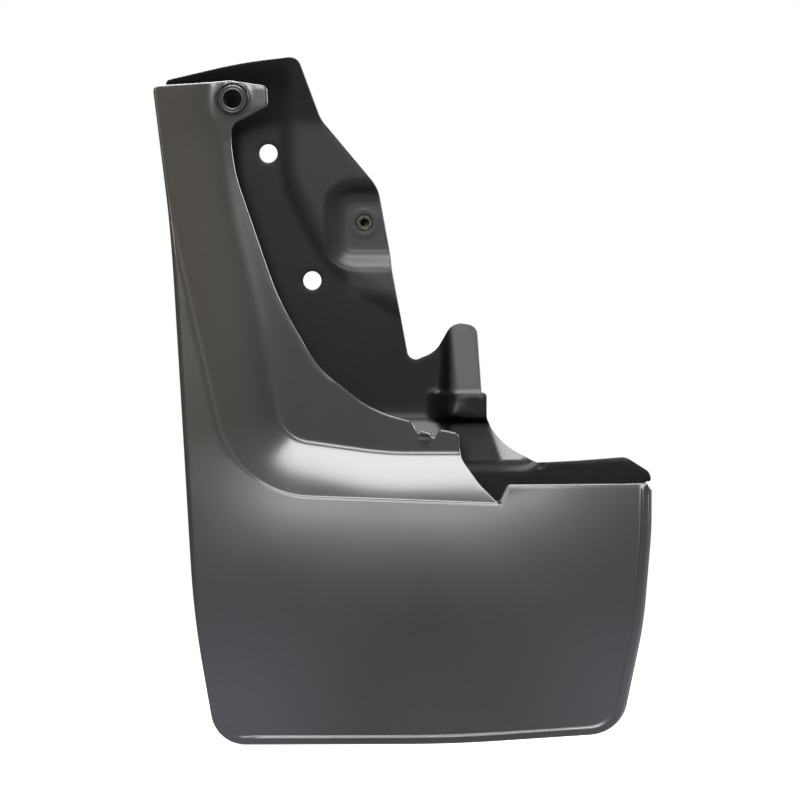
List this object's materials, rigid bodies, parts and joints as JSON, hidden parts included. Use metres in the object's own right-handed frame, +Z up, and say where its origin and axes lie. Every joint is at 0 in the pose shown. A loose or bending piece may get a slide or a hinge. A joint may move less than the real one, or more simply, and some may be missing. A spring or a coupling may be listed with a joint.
{
  "type": "mud flap",
  "caption": "Moulded mud flap for a wheel arch: glossy outer fascia with a flared, curved lip over a black mounting plate, with bush, insert, clip, seal and screws.",
  "frame": {"origin": "on the mounting plate's body-side face, halfway between its two liner holes", "axes": "+X inboard across the car, +Y towards the wheel, +Z up; the side seen from behind the car faces -Y"},
  "size_m": [0.2918, 0.0703, 0.4041],
  "materials": {
    "fascia": "glossy charcoal",
    "plate": "satin black",
    "bush": "glossy charcoal",
    "insert": "yellow zinc plated",
    "seal": "matt black",
    "clip": "blued spring steel",
    "screw": "zinc plated",
    "washer": "zinc plated"
  },
  "bodies": {
    "root": {"outer_fascia": "fascia", "mounting_plate": "plate", "upper_bush": "bush", "pocket_nut": "insert", "lip_seal": "seal", "lip_clip": "clip", "plate_screw_1": "screw", "plate_screw_2": "screw", "plate_screw_3": "screw", "plate_screw_4": "screw", "plate_screw_5": "screw", "plate_screw_6": "screw", "plate_washer_1": "washer", "plate_washer_2": "washer", "plate_washer_3": "washer", "plate_washer_4": "washer", "plate_washer_5": "washer", "plate_washer_6": "washer"}
  },
  "joints": []
}
